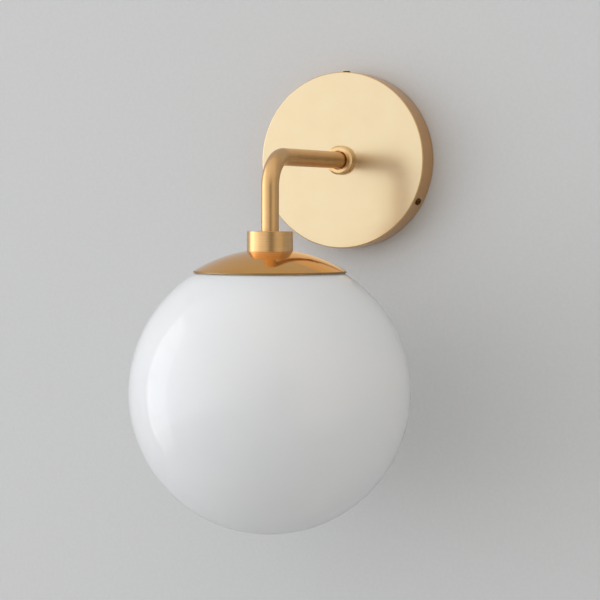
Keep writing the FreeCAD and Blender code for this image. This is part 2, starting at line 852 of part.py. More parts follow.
def bulb_contact():
    top = bulb_top
    low = top - bulb_contact_height
    outline = [(0, top), (bulb_contact_radius - bulb_contact_round, top),
               quarter((bulb_contact_radius, top), bulb_contact_round, (-1, 0), (0, -1)),
               (bulb_contact_radius, low), (0, low)]
    return turned(outline, at_drop)


def bulb_cap_insulator():
    top = bulb_top - bulb_contact_height
    return turned([(0, top), (bulb_contact_radius + bulb_insulator_step, top),
                   (bulb_insulator_radius, bulb_cap_top), (0, bulb_cap_top)], at_drop)


def bulb_screw_cap():
    """The sheet-metal screw cap, its thread drawn as rounded rings one pitch apart."""
    crest, root, pitch = bulb_cap_radius, bulb_cap_root_radius, bulb_thread_pitch
    inner = root - bulb_cap_wall
    first = bulb_cap_top - bulb_cap_shoulder
    levels = [first - pitch * number for number in range(bulb_thread_turns + 1)]
    outline = [(bulb_insulator_radius, bulb_cap_top), (root, first)]
    for level in levels[1:]:
        outline.append(((crest, level + pitch / 2), (root, level)))
    outline += [(root, bulb_cap_under), (inner, bulb_cap_under), (inner, levels[-1])]
    for level in levels[-2::-1]:
        outline.append(((crest - bulb_cap_wall, level - pitch / 2), (inner, level)))
    outline.append((bulb_insulator_radius - bulb_cap_wall, bulb_cap_top))
    return turned(outline, at_drop)


def bulb_flare(neck, neck_level, mouth, mouth_level):
    """A point halfway along the housing's flare, which widens slowly at first."""
    return neck + (mouth - neck) * bulb_flare_middle, (neck_level + mouth_level) / 2


def bulb_housing():
    """The tapered plastic body: a spigot inside the screw cap, a flare, and a rim for the board."""
    collar = bulb_cap_under - bulb_neck_height
    wall = bulb_housing_wall
    mouth = bulb_housing_under
    spigot = bulb_cap_root_radius - bulb_cap_wall - bulb_spigot_clearance
    spigot_top = bulb_cap_under + bulb_spigot_height
    neck_inside = bulb_neck_radius - wall
    rim_inside = bulb_housing_radius - bulb_rim_width
    flare_inside = bulb_housing_radius - 2 * wall
    outer = bulb_flare(bulb_neck_radius, collar, bulb_housing_radius, mouth)
    inner = bulb_flare(neck_inside, collar, flare_inside, mouth + wall)
    outline = [(spigot - wall, spigot_top), (spigot, spigot_top), (spigot, bulb_cap_under),
               (bulb_neck_radius, bulb_cap_under), (bulb_neck_radius, collar),
               (outer, (bulb_housing_radius, mouth)), (rim_inside, mouth), (rim_inside, mouth + wall),
               (flare_inside, mouth + wall), (inner, (neck_inside, collar)),
               (spigot - wall, bulb_cap_under - wall)]
    return turned(outline, at_drop)


def bulb_mouth(radius):
    """Radius of the diffuser's ball of this radius at the level where the housing meets it."""
    return math.sqrt(radius ** 2 - (bulb_housing_under - bulb_centre) ** 2)


def bulb_led_board():
    """The aluminium board under the housing's rim, with a ring of square light sources on it."""
    under = bulb_housing_under - bulb_board_thickness
    board_radius = bulb_mouth(bulb_radius - bulb_diffuser_wall) - bulb_board_clearance
    board = turned([(0, bulb_housing_under), (board_radius, bulb_housing_under), (board_radius, under),
                    (0, under)], at_drop)
    size = bulb_led_size
    chip = Part.makeBox(size, size, bulb_led_height,
                        FreeCAD.Vector(bulb_led_circle_radius - size / 2, -size / 2,
                                       under - bulb_led_height))
    chips = [set_round_drop(chip, 360 / bulb_led_count * number) for number in range(bulb_led_count)]
    return board.fuse(chips)


def bulb_diffuser():
    """The blown plastic dome of the bulb, a ball cut off where the housing meets it."""
    inner = bulb_radius - bulb_diffuser_wall
    mouth = bulb_mouth(bulb_radius)
    inner_mouth = bulb_mouth(inner)
    outline = [(inner_mouth, bulb_housing_under), (mouth, bulb_housing_under),
               ((bulb_radius, bulb_centre), (0, bulb_centre - bulb_radius)), (0, bulb_centre - inner),
               ((inner, bulb_centre), (inner_mouth, bulb_housing_under))]
    return turned(outline, at_drop)


# ---- conductors ----------------------------------------------------------------------------------

def phase_core(side):
    """One core from the terminal block, through the backplate's nipple, the arm and the lower nipple,
    to its post in the lampholder."""
    pole = pole_offsets()[0 if side < 0 else -1]
    entry = -bracket_thickness - block_entry_from_bracket
    offset = side * core_offset
    post = side * terminal_offset
    post_top = insert_top + terminal_height
    points = [FreeCAD.Vector(pole, entry, -block_top_drop - block_entry_depth),
              FreeCAD.Vector(pole, entry, -block_top_drop + core_above_block),
              FreeCAD.Vector(offset, entry, 0),
              FreeCAD.Vector(offset, -arm_reach, 0),
              FreeCAD.Vector(offset, -arm_reach, lower_nipple_end - core_radius),
              FreeCAD.Vector(post, -arm_reach, post_top + core_radius),
              FreeCAD.Vector(post, -arm_reach, insert_top + terminal_bore_floor)]
    bends = [core_small_bend, core_canopy_bend, arm_bend_radius, core_post_bend, core_post_bend]
    return tube_along(bent_path(points, bends), core_radius)


def live_lead():
    return phase_core(1)


def neutral_lead():
    return phase_core(-1)


def earth_lead():
    """From the barrel of the earth tag, back towards the wall in an S, to the middle pole."""
    barrel = -canopy_inner_depth + tag_barrel_radius
    entry = -bracket_thickness - block_entry_from_bracket
    top = tag_barrel_overlap - tag_tail_length - tag_barrel_floor
    turn = -tag_tail_length - tag_barrel_length - core_earth_bend
    points = [FreeCAD.Vector(0, barrel, top), FreeCAD.Vector(0, barrel, turn),
              FreeCAD.Vector(0, entry, turn),
              FreeCAD.Vector(0, entry, -block_top_drop - block_entry_depth)]
    return tube_along(bent_path(points, [core_earth_bend, core_earth_bend]), core_radius)


# ---- writing -------------------------------------------------------------------------------------

PIECES = [wall_bracket, terminal_block, terminal_clamp_screws, terminal_block_screws, canopy,
          canopy_set_screws, arm_collar, arm_tube, canopy_nipple, earth_tag, canopy_lock_washer,
          canopy_lock_nut, socket_cup, cup_nut, socket_nipple, globe_dish, dish_gasket, clip_carrier,
          globe_clip_springs, clip_rivets, socket_lock_washer, socket_lock_nut, lampholder_cap,
          lampholder_insert, lampholder_skirt, lampholder_screw_shell, lampholder_contact,
          lampholder_terminals, live_lead, neutral_lead, earth_lead, globe, bulb_contact,
          bulb_cap_insulator, bulb_screw_cap, bulb_housing, bulb_led_board, bulb_diffuser]

os.makedirs("parts", exist_ok=True)
for piece in PIECES:
    shape = piece()
    if not shape.isValid():
        raise ValueError(piece.__name__ + " is not valid")
    shape.exportStep("parts/" + piece.__name__ + ".step")
    print(piece.__name__, len(shape.Solids), round(shape.Volume, 1))
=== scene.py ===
import math

import bpy
from mathutils import Matrix, Vector


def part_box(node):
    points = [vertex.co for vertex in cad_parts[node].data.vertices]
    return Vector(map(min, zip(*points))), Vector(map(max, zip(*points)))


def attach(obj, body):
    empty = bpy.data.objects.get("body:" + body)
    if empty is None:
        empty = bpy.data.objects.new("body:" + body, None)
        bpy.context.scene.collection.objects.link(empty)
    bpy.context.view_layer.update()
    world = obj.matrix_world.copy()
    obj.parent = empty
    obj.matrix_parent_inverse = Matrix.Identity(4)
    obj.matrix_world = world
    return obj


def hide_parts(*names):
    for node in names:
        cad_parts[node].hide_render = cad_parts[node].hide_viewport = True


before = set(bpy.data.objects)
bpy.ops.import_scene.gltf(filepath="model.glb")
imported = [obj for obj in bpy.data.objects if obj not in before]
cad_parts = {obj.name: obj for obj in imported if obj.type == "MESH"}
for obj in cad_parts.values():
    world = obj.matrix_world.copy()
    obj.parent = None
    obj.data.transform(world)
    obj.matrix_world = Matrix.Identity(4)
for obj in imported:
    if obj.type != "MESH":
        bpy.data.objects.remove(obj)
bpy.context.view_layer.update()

# The wall light's looks. Metres, in the part's own frame: the wall is the plane y = 0, the light stands
# out along -y, +z is up. Sizes that fit a piece of the part are read from that piece's box.

MM = 0.001
MICRON = 0.000001
ROUND_BELOW = math.radians(30)
SHARP_ABOVE = math.radians(35)


# ---- places read from the part -------------------------------------------------------------------

plate_low, plate_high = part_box("canopy")
collar_low, collar_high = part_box("arm_collar")
tube_low, tube_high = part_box("arm_tube")
cup_low, cup_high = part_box("socket_cup")
dish_low, dish_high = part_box("globe_dish")
globe_low, globe_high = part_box("globe")

PLATE_RADIUS = plate_high.x
PLATE_DEPTH = -plate_low.y
COLLAR_RADIUS = collar_high.x
COLLAR_FRONT = -collar_low.y
TUBE_RADIUS = tube_high.x
DROP_Y = tube_low.y + TUBE_RADIUS
TUBE_END = tube_low.z
CUP_RADIUS = cup_high.x
CUP_TOP = cup_high.z
CUP_BOTTOM = cup_low.z
DISH_RADIUS = dish_high.x
DISH_BOTTOM = dish_low.z
GLOBE_RADIUS = globe_high.x
GLOBE_CENTRE = Vector((0, DROP_Y, globe_low.z + GLOBE_RADIUS))

PLATE_WALL = 1.5 * MM
PLATE_EDGE_ROUND = 0.9 * MM
NIPPLE_HOLE_RADIUS = 5.2 * MM
COLLAR_RECESS_RADIUS = 7.1 * MM
COLLAR_RECESS_DEPTH = 3.2 * MM
COLLAR_CHAMFER = 1.3 * MM
TUBE_BORE_RADIUS = 4.4 * MM
BEND_RADIUS = 22.0 * MM
CUP_WALL = 1.5 * MM
CUP_TOP_WALL = 2.0 * MM
CUP_EDGE_ROUND = 0.35 * MM
DISH_WALL = 1.0 * MM
DISH_OVER_GLASS = 0.8 * MM
DISH_EDGE_ROUND = 0.25 * MM
DISH_EDGE_HEIGHT = 1.2 * MM
GLASS_WALL = 3.0 * MM
GLASS_HOLE_ROUND = 1.2 * MM
GLASS_HOLE_ANGLE = math.radians(50)
OPAL_PASSES = 0.35  # the share of the opal wall that lets light through


# ---- modelling helpers ---------------------------------------------------------------------------

def begin_piece(name):
    """Names the primitive that was just added, and opens it for editing with all of it selected."""
    piece = bpy.context.object
    piece.name = name
    piece.data.name = name
    bpy.ops.object.mode_set(mode="EDIT")
    bpy.ops.mesh.select_all(action="SELECT")
    return piece


def end_piece(smooth_angle=ROUND_BELOW):
    """Merges doubles, turns all faces outwards and shades what is round as round."""
    bpy.ops.mesh.select_all(action="SELECT")
    bpy.ops.mesh.remove_doubles(threshold=MICRON)
    bpy.ops.mesh.normals_make_consistent(inside=False)
    bpy.ops.object.mode_set(mode="OBJECT")
    bpy.ops.object.shade_smooth_by_angle(angle=smooth_angle)


def apply_modifier(piece, kind, **settings):
    """Adds a modifier to the active piece and applies it."""
    modifier = piece.modifiers.new(kind.title(), kind)
    for key, value in settings.items():
        setattr(modifier, key, value)
    bpy.ops.object.modifier_apply(modifier=modifier.name)


def settle(piece):
    """Puts the piece's place into its mesh, so that its object sits unturned at the origin, and lets
    its large faces lead the shading, so that a flat one mirrors flat."""
    bpy.ops.object.select_all(action="DESELECT")
    piece.select_set(True)
    bpy.context.view_layer.objects.active = piece
    bpy.ops.object.transform_apply(location=True, rotation=True, scale=True)
    apply_modifier(piece, "WEIGHTED_NORMAL", keep_sharp=True)


def round_corners(piece, width, segments=3):
    """Breaks the sharp corners of a machined piece, as its tumbling and buffing do."""
    apply_modifier(piece, "BEVEL", width=width, segments=segments, limit_method="ANGLE",
                   angle_limit=SHARP_ABOVE)
    bpy.ops.object.shade_smooth_by_angle(angle=ROUND_BELOW)


def turn_piece(name, section, segments=160):
    """A lathe-turned piece: a circle pulled ring by ring along a closed (radius, height) section."""
    radius, height = section[0]
    bpy.ops.object.select_all(action="DESELECT")
    bpy.ops.mesh.primitive_circle_add(vertices=segments, radius=radius, location=(0, 0, 0))
    piece = begin_piece(name)
    bpy.ops.transform.translate(value=(0, 0, height))
    for next_radius, next_height in section[1:] + section[:1]:
        bpy.ops.mesh.extrude_region_move(
            TRANSFORM_OT_translate={"value": (0, 0, next_height - height)})
        grow = next_radius / radius
        bpy.ops.transform.resize(value=(grow, grow, 1), center_override=(0, 0, next_height))
        radius, height = next_radius, next_height
    end_piece()
    return piece


def arc(centre, radius, start, end, steps):
    """Points of an arc in a section, its angles in degrees from the outward radius."""
    points = []
    for step in range(steps + 1):
        angle = math.radians(start + (end - start) * step / steps)
        points.append((centre[0] + radius * math.cos(angle), centre[1] + radius * math.sin(angle)))
    return points


def dress(piece, body, slot, material, *nodes):
    """Gives a finished piece its material and the body it moves with, and hides the CAD nodes it stands
    in for.
    """
    piece.data.materials.clear()
    piece.data.materials.append(material)
    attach(piece, body)
    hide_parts(*nodes)


# ---- materials -----------------------------------------------------------------------------------

def linear(code):
    """The linear colour of an sRGB hex value."""
    channels = []
    for start in (0, 2, 4):
        value = int(code[start:start + 2], 16) / 255
        channels.append(value / 12.92 if value <= 0.04045 else ((value + 0.055) / 1.055) ** 2.4)
    return (*channels, 1.0)


def add(tree, kind, settings=None, inputs=None):
    """Adds a node with its settings, and links or sets its inputs."""
    node = tree.nodes.new(kind)
    for key, value in (settings or {}).items():
        setattr(node, key, value)
    for key, value in (inputs or {}).items():
        if isinstance(value, bpy.types.NodeSocket):
            tree.links.new(value, node.inputs[key])
        else:
            node.inputs[key].default_value = value
    return node


def new_finish(name, **sockets):
    """A material with one Principled shader, its constant values set on the shader's own sockets."""
    material = bpy.data.materials.new(name)
    material.use_nodes = True
    tree = material.node_tree
    tree.nodes.clear()
    shader = add(tree, "ShaderNodeBsdfPrincipled")
    for key, value in sockets.items():
        shader.inputs[key.replace("_", " ")].default_value = value
    output = add(tree, "ShaderNodeOutputMaterial")
    tree.links.new(shader.outputs[0], output.inputs["Surface"])
    return material, tree, shader


def object_coordinates(tree, centre=(0, 0, 0), scale=(1, 1, 1)):
    """Object coordinates counted from centre and stretched by scale."""
    coordinates = add(tree, "ShaderNodeTexCoord")
    shifted = add(tree, "ShaderNodeVectorMath", {"operation": "SUBTRACT"},
                  {0: coordinates.outputs["Object"], 1: centre})
    return add(tree, "ShaderNodeVectorMath", {"operation": "MULTIPLY"},
               {0: shifted.outputs[0], 1: scale}).outputs[0]


def noise(tree, vector, size, detail=2.0):
    """Noise whose largest blotches are about this size, in metres along an unstretched axis."""
    return add(tree, "ShaderNodeTexNoise", None,
               {"Vector": vector, "Scale": 1 / size, "Detail": detail}).outputs["Fac"]


def spread(tree, factor, low, high):
    """Maps noise, which mostly lies between 0.3 and 0.7, to a range."""
    return add(tree, "ShaderNodeMapRange", None,
               {"Value": factor, "From Min": 0.3, "From Max": 0.7, "To Min": low,
                "To Max": high}).outputs["Result"]


def tint(tree, factor, first, second):
    """A colour between two hex values."""
    return add(tree, "ShaderNodeMix", {"data_type": "RGBA"},
               {"Factor": factor, 6: linear(first), 7: linear(second)}).outputs[2]


def relief(tree, shader, height, depth):
    """Bump of a real depth in metres."""
    bump = add(tree, "ShaderNodeBump", None, {"Height": height, "Distance": depth, "Strength": 1.0})
    tree.links.new(bump.outputs["Normal"], shader.inputs["Normal"])


def show_mix(tree, share, surface, second):
    """Puts a mix of two shaders on the material's output."""
    mixed = add(tree, "ShaderNodeMixShader", None, {0: share, 1: surface, 2: second})
    output = next(node for node in tree.nodes if node.type == "OUTPUT_MATERIAL")
    tree.links.new(mixed.outputs[0], output.inputs["Surface"])


def connect(tree, shader, **links):
    """Links values that vary over the surface to the shader's sockets."""
    for key, value in links.items():
        tree.links.new(value, shader.inputs[key.replace("_", " ")])


def ring_coordinates(tree, centre, axis):
    """Coordinates that are the same all round an axis: distance from it, and place along it."""
    keep = [0 if letter == axis else 1 for letter in "XYZ"]
    along = [1 - value for value in keep]
    shifted = object_coordinates(tree, centre)
    across = add(tree, "ShaderNodeVectorMath", {"operation": "MULTIPLY"}, {0: shifted, 1: keep})
    distance = add(tree, "ShaderNodeVectorMath", {"operation": "LENGTH"}, {0: across.outputs[0]})
    lengthwise = add(tree, "ShaderNodeVectorMath", {"operation": "DOT_PRODUCT"},
                     {0: shifted, 1: along})
    rings = add(tree, "ShaderNodeCombineXYZ", None,
                {"X": distance.outputs["Value"], "Y": lengthwise.outputs["Value"]})
    return rings.outputs[0]


def plate_brass():
    """Sheet brass, spun, brushed with a fine pad and lacquered: an even, soft face painted pale gold, a
    painted highlight where bright light washes it out, and a rim painted deeper gold, a painted shade of
    the dim wall it mirrors. The pad's lines are about 0.05 mm apart, so they are drawn six times as
    coarse."""
    material, tree, shader = new_finish("brass_plate_satin", Metallic=1.0, Coat_Weight=0.5,
                                        Coat_Roughness=0.3)
    lines = noise(tree, object_coordinates(tree, scale=(0.02, 0.02, 1)), 0.3 * MM, 3.0)
    cloud = noise(tree, object_coordinates(tree), 22 * MM, 3.0)
    from_axis = add(tree, "ShaderNodeSeparateXYZ", None,
                    {0: ring_coordinates(tree, (0, 0, 0), "Y")}).outputs["X"]
    # Painted light: the face's colour is a paler gold as painted highlight, and the rim's a deeper gold
    # as painted shade, though both are the same brass.
    rim_painted_deeper = add(tree, "ShaderNodeMapRange", None,
                 {"Value": from_axis, "From Min": PLATE_RADIUS - PLATE_EDGE_ROUND,
                  "From Max": PLATE_RADIUS - 0.1 * MM}).outputs["Result"]
    face_painted_pale = tint(tree, spread(tree, cloud, 0, 1), "d3bd97", "d5c19b")
    colour = add(tree, "ShaderNodeMix", {"data_type": "RGBA"},
                 {"Factor": rim_painted_deeper, 6: face_painted_pale, 7: linear("d9a660")}).outputs[2]
    connect(tree, shader, Base_Color=colour, Roughness=spread(tree, lines, 0.19, 0.23))
    relief(tree, shader, lines, 0.3 * MICRON)
    return material


def turned_brass(name, centre, axis, colours, rough, pitch, depth):
    """Bar or tube brass finished on a lathe with a fine pad, then lacquered: rings round the axis draw
    the light out along it. Real lines are a few hundredths of a millimetre apart, here pitch apart."""
    material, tree, shader = new_finish(name, Metallic=1.0, Coat_Weight=0.4, Coat_Roughness=0.3)
    lines = noise(tree, ring_coordinates(tree, centre, axis), pitch, 2.0)
    cloud = noise(tree, object_coordinates(tree), 9 * MM, 3.0)
    connect(tree, shader, Base_Color=tint(tree, spread(tree, cloud, 0, 1), *colours),
            Roughness=spread(tree, lines, *rough))
    relief(tree, shader, lines, depth)
    return material


def polished_dish():
    """Spun sheet brass buffed on the lathe: clear, warm mirrors with faint rings about 0.8 mm apart.
    The edge is left as it was trimmed and half matt, and its lowest band is painted a darker brown, as
    painted shade along the edge."""
    material, tree, shader = new_finish("brass_dish_polished", Metallic=1.0)
    places = ring_coordinates(tree, (0, DROP_Y, 0), "Z")
    lines = noise(tree, places, 0.8 * MM, 2.0)
    height = add(tree, "ShaderNodeSeparateXYZ", None, {0: places}).outputs["Y"]
    # Painted shade: the dish's lowest 1.2 mm is coloured darker brown for the shade along its edge; the
    # same band is also made half matt.
    edge_band_painted_dark = add(tree, "ShaderNodeMapRange", None,
                  {"Value": height, "From Min": DISH_BOTTOM + DISH_EDGE_HEIGHT,
                   "From Max": DISH_BOTTOM + DISH_EDGE_HEIGHT - 0.1 * MM}).outputs["Result"]
    buffed = tint(tree, spread(tree, lines, 0, 1), "dca45a", "e2aa62")
    colour = add(tree, "ShaderNodeMix", {"data_type": "RGBA"},
                 {"Factor": edge_band_painted_dark, 6: buffed, 7: linear("9a7a4c")}).outputs[2]
    rough = add(tree, "ShaderNodeMapRange", None,
                {"Value": edge_band_painted_dark, "To Min": 0.09, "To Max": 0.45}).outputs["Result"]
    connect(tree, shader, Base_Color=colour, Roughness=rough)
    relief(tree, shader, lines, 0.15 * MICRON)
    return material


def blackened_screw():
    """Small steel screws, oil-blackened over a brass wash: dark, brownish, half matt."""
    material, tree, shader = new_finish("screw_blackened", Metallic=1.0)
    wear = noise(tree, object_coordinates(tree), 0.8 * MM, 3.0)
    connect(tree, shader, Base_Color=tint(tree, spread(tree, wear, 0, 1), "3a2712", "6a4a22"),
            Roughness=spread(tree, wear, 0.34, 0.5))
    relief(tree, shader, wear, 4 * MICRON)
    return material


def zinc_plate():
    """Pressed steel, zinc plated and passivated: pale bluish grey with soft clouds and rolling lines."""
    material, tree, shader = new_finish("steel_zinc_plated", Metallic=1.0)
    cloud = noise(tree, object_coordinates(tree), 6 * MM, 4.0)
    rolling = noise(tree, object_coordinates(tree, scale=(0.03, 1, 1)), 0.4 * MM)
    connect(tree, shader, Base_Color=tint(tree, spread(tree, cloud, 0, 1), "a9adb0", "c3c6c8"),
            Roughness=spread(tree, cloud, 0.26, 0.4))
    relief(tree, shader, rolling, 2 * MICRON)
    return material


def bright_turned_brass():
    """Free-cutting brass straight from the automatic lathe, not lacquered: bright yellow rings."""
    material, tree, shader = new_finish("brass_turned_bare", Metallic=1.0)
    cloud = noise(tree, object_coordinates(tree), 4 * MM, 3.0)
    lines = noise(tree, object_coordinates(tree, scale=(0.05, 0.05, 1)), 0.25 * MM)
    connect(tree, shader, Base_Color=tint(tree, spread(tree, cloud, 0, 1), "cfa964", "dcbb78"),
            Roughness=spread(tree, lines, 0.2, 0.34))
    relief(tree, shader, lines, 3 * MICRON)
    return material


def spring_strip():
    """Hardened and tempered spring strip: dark bright steel with straw-coloured heat marks."""
    material, tree, shader = new_finish("spring_steel_tempered", Metallic=1.0)
    heat = noise(tree, object_coordinates(tree), 7 * MM, 2.0)
    rolling = noise(tree, object_coordinates(tree, scale=(1, 1, 0.05)), 0.3 * MM)
    connect(tree, shader, Base_Color=tint(tree, spread(tree, heat, 0, 1), "8d9093", "9b9488"),
            Roughness=spread(tree, rolling, 0.2, 0.32))
    relief(tree, shader, rolling, 1.5 * MICRON)
    return material


def opal_glass():
    """Opal glass blown in a mould: dense white under a clear fire-polished skin, which bends what it
    mirrors a little. Part of the light passes the wall and evens out inside the ball, so its shades
    are soft all round."""
    material, tree, shader = new_finish("glass_opal_blown", Roughness=0.05, IOR=1.52)
    density = noise(tree, object_coordinates(tree, GLOBE_CENTRE), 60 * MM, 2.0)
    flow = noise(tree, object_coordinates(tree, GLOBE_CENTRE, (1, 1, 0.6)), 45 * MM, 1.0)
    colour = tint(tree, spread(tree, density, 0, 1), "f8f9fa", "fbfbfb")
    connect(tree, shader, Base_Color=colour)
    relief(tree, shader, flow, 60 * MICRON)
    passing = add(tree, "ShaderNodeBsdfTranslucent", None, {"Color": colour})
    show_mix(tree, OPAL_PASSES, shader.outputs[0], passing.outputs[0])
    return material


def soft_ring():
    """Closed-cell silicone foam, cut from sheet: matt, off-white, with fine cells in its cut edges."""
    material, tree, shader = new_finish("silicone_foam", IOR=1.41)
    cells = add(tree, "ShaderNodeTexVoronoi", None,
                {"Vector": object_coordinates(tree), "Scale": 1 / (0.5 * MM)}).outputs["Distance"]
    connect(tree, shader, Base_Color=tint(tree, cells, "c9c8c3", "d8d7d2"),
            Roughness=spread(tree, cells, 0.75, 0.9))
    relief(tree, shader, cells, 30 * MICRON)
    return material


def moulded_plastic(name, first, second, rough, ior, grain, depth, **sockets):
    """A moulded plastic: its colour drifts slightly where it flowed, and the mould leaves a fine
    grain, which is drawn at the given size."""
    material, tree, shader = new_finish(name, IOR=ior, **sockets)
    flow = noise(tree, object_coordinates(tree), 12 * MM, 2.0)
    texture = noise(tree, object_coordinates(tree), grain, 2.0)
    connect(tree, shader, Base_Color=tint(tree, spread(tree, flow, 0, 1), first, second),
            Roughness=spread(tree, texture, *rough))
    relief(tree, shader, texture, depth)
    return material


def bulb_nickel():
    """Brass sheet drawn into a thread and nickel plated: warm white metal with fine drawing lines."""
    material, tree, shader = new_finish("nickel_plated_sheet", Metallic=1.0)
    lines = noise(tree, object_coordinates(tree, scale=(0.05, 0.05, 1)), 0.2 * MM)
    cloud = noise(tree, object_coordinates(tree), 5 * MM)
    connect(tree, shader, Base_Color=tint(tree, spread(tree, cloud, 0, 1), "bdb9b0", "cfccc4"),
            Roughness=spread(tree, lines, 0.18, 0.28))
    relief(tree, shader, lines, 2 * MICRON)
    return material


def led_board():
    """An aluminium board under white solder resist, with pale yellow phosphor on each light source.
    The resist's speckle is finer than it is drawn."""
    material, tree, shader = new_finish("board_white_resist", IOR=1.5)
    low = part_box("bulb_led_board")[0]
    height = add(tree, "ShaderNodeSeparateXYZ", None, {0: object_coordinates(tree)}).outputs["Z"]
    on_chip = add(tree, "ShaderNodeMath", {"operation": "LESS_THAN"},
                  {0: height, 1: low.z + 0.1 * MM}).outputs[0]
    speckle = noise(tree, object_coordinates(tree), 0.6 * MM)
    resist = tint(tree, spread(tree, speckle, 0, 1), "dfe0dd", "eaebe8")
    colour = add(tree, "ShaderNodeMix", {"data_type": "RGBA"},
                 {"Factor": on_chip, 6: resist, 7: linear("e6d27a")}).outputs[2]
    connect(tree, shader, Base_Color=colour, Roughness=spread(tree, speckle, 0.35, 0.5))
    relief(tree, shader, speckle, 5 * MICRON)
    return material


# ---- the pieces that show ------------------------------------------------------------------------

def canopy():
    """The round backplate, a shallow spun cover with a straight rim and a slightly rounded edge."""
    inner_radius = PLATE_RADIUS - PLATE_WALL
    inner_depth = PLATE_DEPTH - PLATE_WALL
    round_centre = (PLATE_RADIUS - PLATE_EDGE_ROUND, PLATE_DEPTH - PLATE_EDGE_ROUND)
    section = [(NIPPLE_HOLE_RADIUS, inner_depth), (NIPPLE_HOLE_RADIUS, PLATE_DEPTH)]
    section += arc(round_centre, PLATE_EDGE_ROUND, 90, 0, 6)
    section += [(PLATE_RADIUS, 0), (inner_radius, 0), (inner_radius, inner_depth)]
    piece = turn_piece("backplate", section, 240)
    piece.rotation_euler = (math.radians(90), 0, 0)
    settle(piece)
    return piece


def collar():
    """The turned collar round the arm: a chamfered nose with a recess that leaves a dark ring."""
    seat = COLLAR_FRONT - COLLAR_RECESS_DEPTH
    section = [(TUBE_RADIUS, seat), (COLLAR_RECESS_RADIUS, seat), (COLLAR_RECESS_RADIUS, COLLAR_FRONT),
               (COLLAR_RADIUS - COLLAR_CHAMFER, COLLAR_FRONT),
               (COLLAR_RADIUS, COLLAR_FRONT - COLLAR_CHAMFER), (COLLAR_RADIUS, PLATE_DEPTH),
               (TUBE_RADIUS, PLATE_DEPTH)]
    piece = turn_piece("collar", section, 128)
    round_corners(piece, 0.18 * MM)
    piece.rotation_euler = (math.radians(90), 0, 0)
    settle(piece)
    return piece


def tube():
    """The arm: half-inch tube drawn round a former through a right angle."""
    bpy.ops.object.select_all(action="DESELECT")
    bpy.ops.mesh.primitive_circle_add(vertices=96, radius=TUBE_RADIUS, location=(0, -PLATE_DEPTH, 0),
                                      rotation=(math.radians(90), 0, 0))
    piece = begin_piece("bent_arm")
    bend_start = DROP_Y + BEND_RADIUS
    bpy.ops.mesh.extrude_region_move(
        TRANSFORM_OT_translate={"value": (0, bend_start + PLATE_DEPTH, 0)})
    bpy.ops.mesh.spin(steps=36, angle=math.radians(-90), center=(0, bend_start, -BEND_RADIUS),
                      axis=(1, 0, 0))
    bpy.ops.mesh.extrude_region_move(
        TRANSFORM_OT_translate={"value": (0, 0, TUBE_END + BEND_RADIUS)})
    end_piece()
    apply_modifier(piece, "SOLIDIFY", thickness=TUBE_RADIUS - TUBE_BORE_RADIUS, offset=-1.0)
    bpy.ops.object.shade_smooth_by_angle(angle=ROUND_BELOW)
    settle(piece)
    return piece


def cup():
    """The short turned cup that hides the nut above the dish."""
    inner = CUP_RADIUS - CUP_WALL
    under = CUP_TOP - CUP_TOP_WALL
    section = [(NIPPLE_HOLE_RADIUS, under), (NIPPLE_HOLE_RADIUS, CUP_TOP)]
    section += arc((CUP_RADIUS - CUP_EDGE_ROUND, CUP_TOP - CUP_EDGE_ROUND), CUP_EDGE_ROUND, 90, 0, 4)
    section += [(CUP_RADIUS, CUP_BOTTOM), (inner, CUP_BOTTOM), (inner, under)]
    piece = turn_piece("cup", section, 128)
    piece.location = (0, DROP_Y, 0)
    settle(piece)
    return piece


def dish():
    """The spun dish: it follows the ball at an even distance, is flat under the cup, and its rim is
    trimmed upright."""
    centre = GLOBE_CENTRE.z
    inner_dome = GLOBE_RADIUS + DISH_OVER_GLASS
    dome = inner_dome + DISH_WALL
    under = CUP_BOTTOM - DISH_WALL

    def lean(radius, across):
        return math.degrees(math.acos(across / radius))

    land = math.sqrt(dome ** 2 - (CUP_BOTTOM - centre) ** 2)
    under_land = math.sqrt(inner_dome ** 2 - (under - centre) ** 2)
    section = [(NIPPLE_HOLE_RADIUS, under), (NIPPLE_HOLE_RADIUS, CUP_BOTTOM)]
    section += arc((0, centre), dome, lean(dome, land), lean(dome, DISH_RADIUS), 40)
    section += arc((0, centre), inner_dome, lean(inner_dome, DISH_RADIUS),
                   lean(inner_dome, under_land), 40)
    piece = turn_piece("dish", section, 240)
    round_corners(piece, DISH_EDGE_ROUND)
    piece.location = (0, DROP_Y, 0)
    settle(piece)
    return piece


def glass_ball():
    """The opal ball: a blown sphere cut open at the top, its edge melted round."""
    bpy.ops.object.select_all(action="DESELECT")
    bpy.ops.mesh.primitive_uv_sphere_add(segments=192, ring_count=96, radius=GLOBE_RADIUS,
                                         location=GLOBE_CENTRE)
    piece = begin_piece("glass_ball")
    bpy.ops.mesh.bisect(plane_co=(0, DROP_Y, globe_high.z), plane_no=(0, 0, 1), clear_outer=True)
    end_piece(math.radians(60))
    apply_modifier(piece, "SOLIDIFY", thickness=GLASS_WALL, offset=-1.0)
    apply_modifier(piece, "BEVEL", width=GLASS_HOLE_ROUND, segments=4, limit_method="ANGLE",
                   angle_limit=GLASS_HOLE_ANGLE)
    bpy.ops.object.shade_smooth_by_angle(angle=GLASS_HOLE_ANGLE)
    settle(piece)
    return piece


